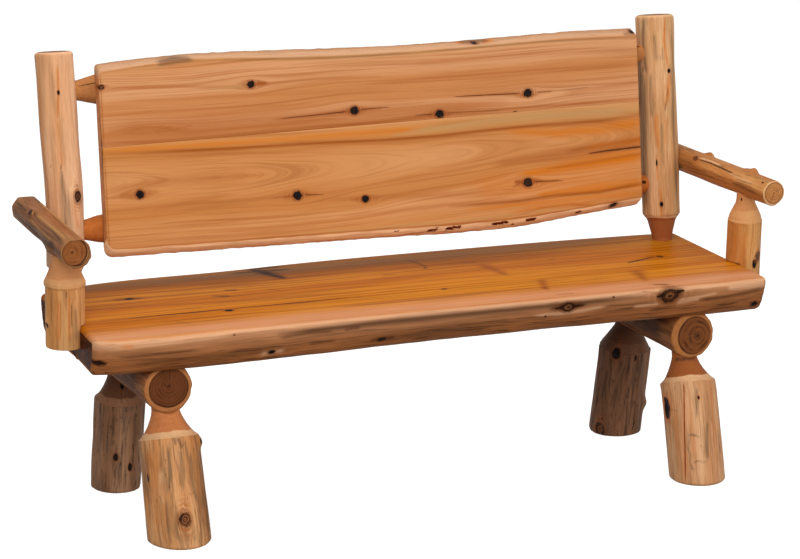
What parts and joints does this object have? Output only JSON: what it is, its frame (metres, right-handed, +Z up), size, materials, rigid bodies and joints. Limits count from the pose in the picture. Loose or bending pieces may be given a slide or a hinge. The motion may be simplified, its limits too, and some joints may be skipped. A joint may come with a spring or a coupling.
{
  "type": "rustic log bench",
  "caption": "Log bench with a thick live-edge slab seat, splayed log legs, raked log posts, a live-edge slab back and log arms.",
  "frame": {"origin": "on the floor under the middle of the bench's overall width and depth", "axes": "+X along the bench to the sitter's left, which is the right side seen from the front; -Y towards the front; +Z up"},
  "size_m": [1.6605, 0.5948, 0.9487],
  "materials": {
    "seat_slab": "clear lacquer, semi-gloss, amber cedar heartwood",
    "back_slab": "clear lacquer, satin, pink-orange cedar with black knots",
    "peeled_log": "clear lacquer, satin, hand-peeled cedar log",
    "tongue": "plain birch",
    "zinc_screw": "zinc plated"
  },
  "bodies": {
    "root": {"arm_lag_screws": "zinc_screw", "arm_left": "peeled_log", "arm_post_lag_screws": "zinc_screw", "arm_post_left": "peeled_log", "arm_post_right": "peeled_log", "arm_right": "peeled_log", "back_board_lower": "back_slab", "back_board_upper": "back_slab", "back_lag_screws": "zinc_screw", "back_post_left": "peeled_log", "back_post_right": "peeled_log", "back_rail_lower": "peeled_log", "back_rail_upper": "peeled_log", "back_tongue": "tongue", "cross_log_left": "peeled_log", "cross_log_right": "peeled_log", "leg_front_left": "peeled_log", "leg_front_right": "peeled_log", "leg_rear_left": "peeled_log", "leg_rear_right": "peeled_log", "seat_front_plank": "seat_slab", "seat_lag_screws": "zinc_screw", "seat_rear_plank": "seat_slab", "seat_tongue": "tongue"}
  },
  "joints": []
}
